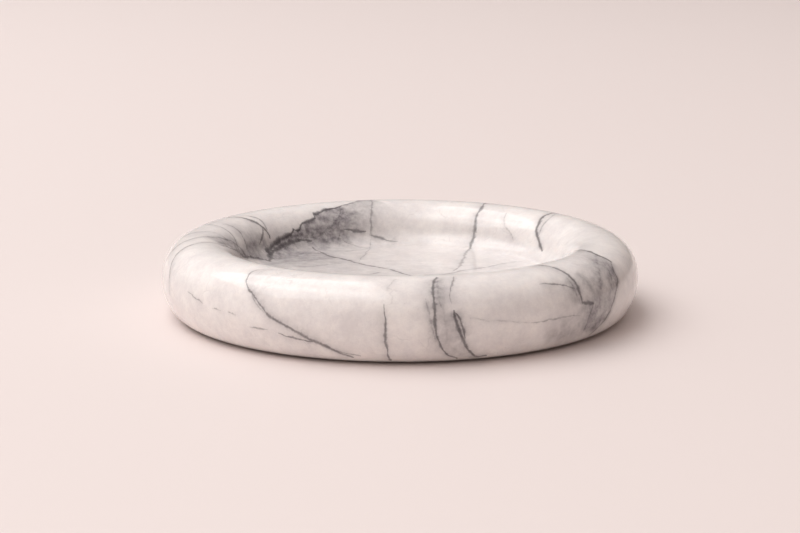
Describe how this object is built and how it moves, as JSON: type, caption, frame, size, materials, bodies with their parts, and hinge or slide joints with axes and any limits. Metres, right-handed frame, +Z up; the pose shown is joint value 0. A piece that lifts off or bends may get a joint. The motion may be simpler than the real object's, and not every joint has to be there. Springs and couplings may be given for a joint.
{
  "type": "shaving bowl",
  "caption": "Shallow shaving bowl: a thick, fully rounded ring of veined white marble round a flat-floored lathering dish, on small elastomer bumpers.",
  "frame": {"origin": "on the table, directly under the centre of the bowl", "axes": "+Z up, along the axis the bowl is turned about; the bowl is round, so +X is simply to the right of a viewer who looks along +Y"},
  "size_m": [0.15, 0.15, 0.0241],
  "materials": {
    "marble": "polished",
    "bumper": "matte, translucent white"
  },
  "bodies": {
    "root": {"bowl": "marble", "bumper_front_right": "bumper", "bumper_back_right": "bumper", "bumper_back_left": "bumper", "bumper_front_left": "bumper"}
  },
  "joints": []
}
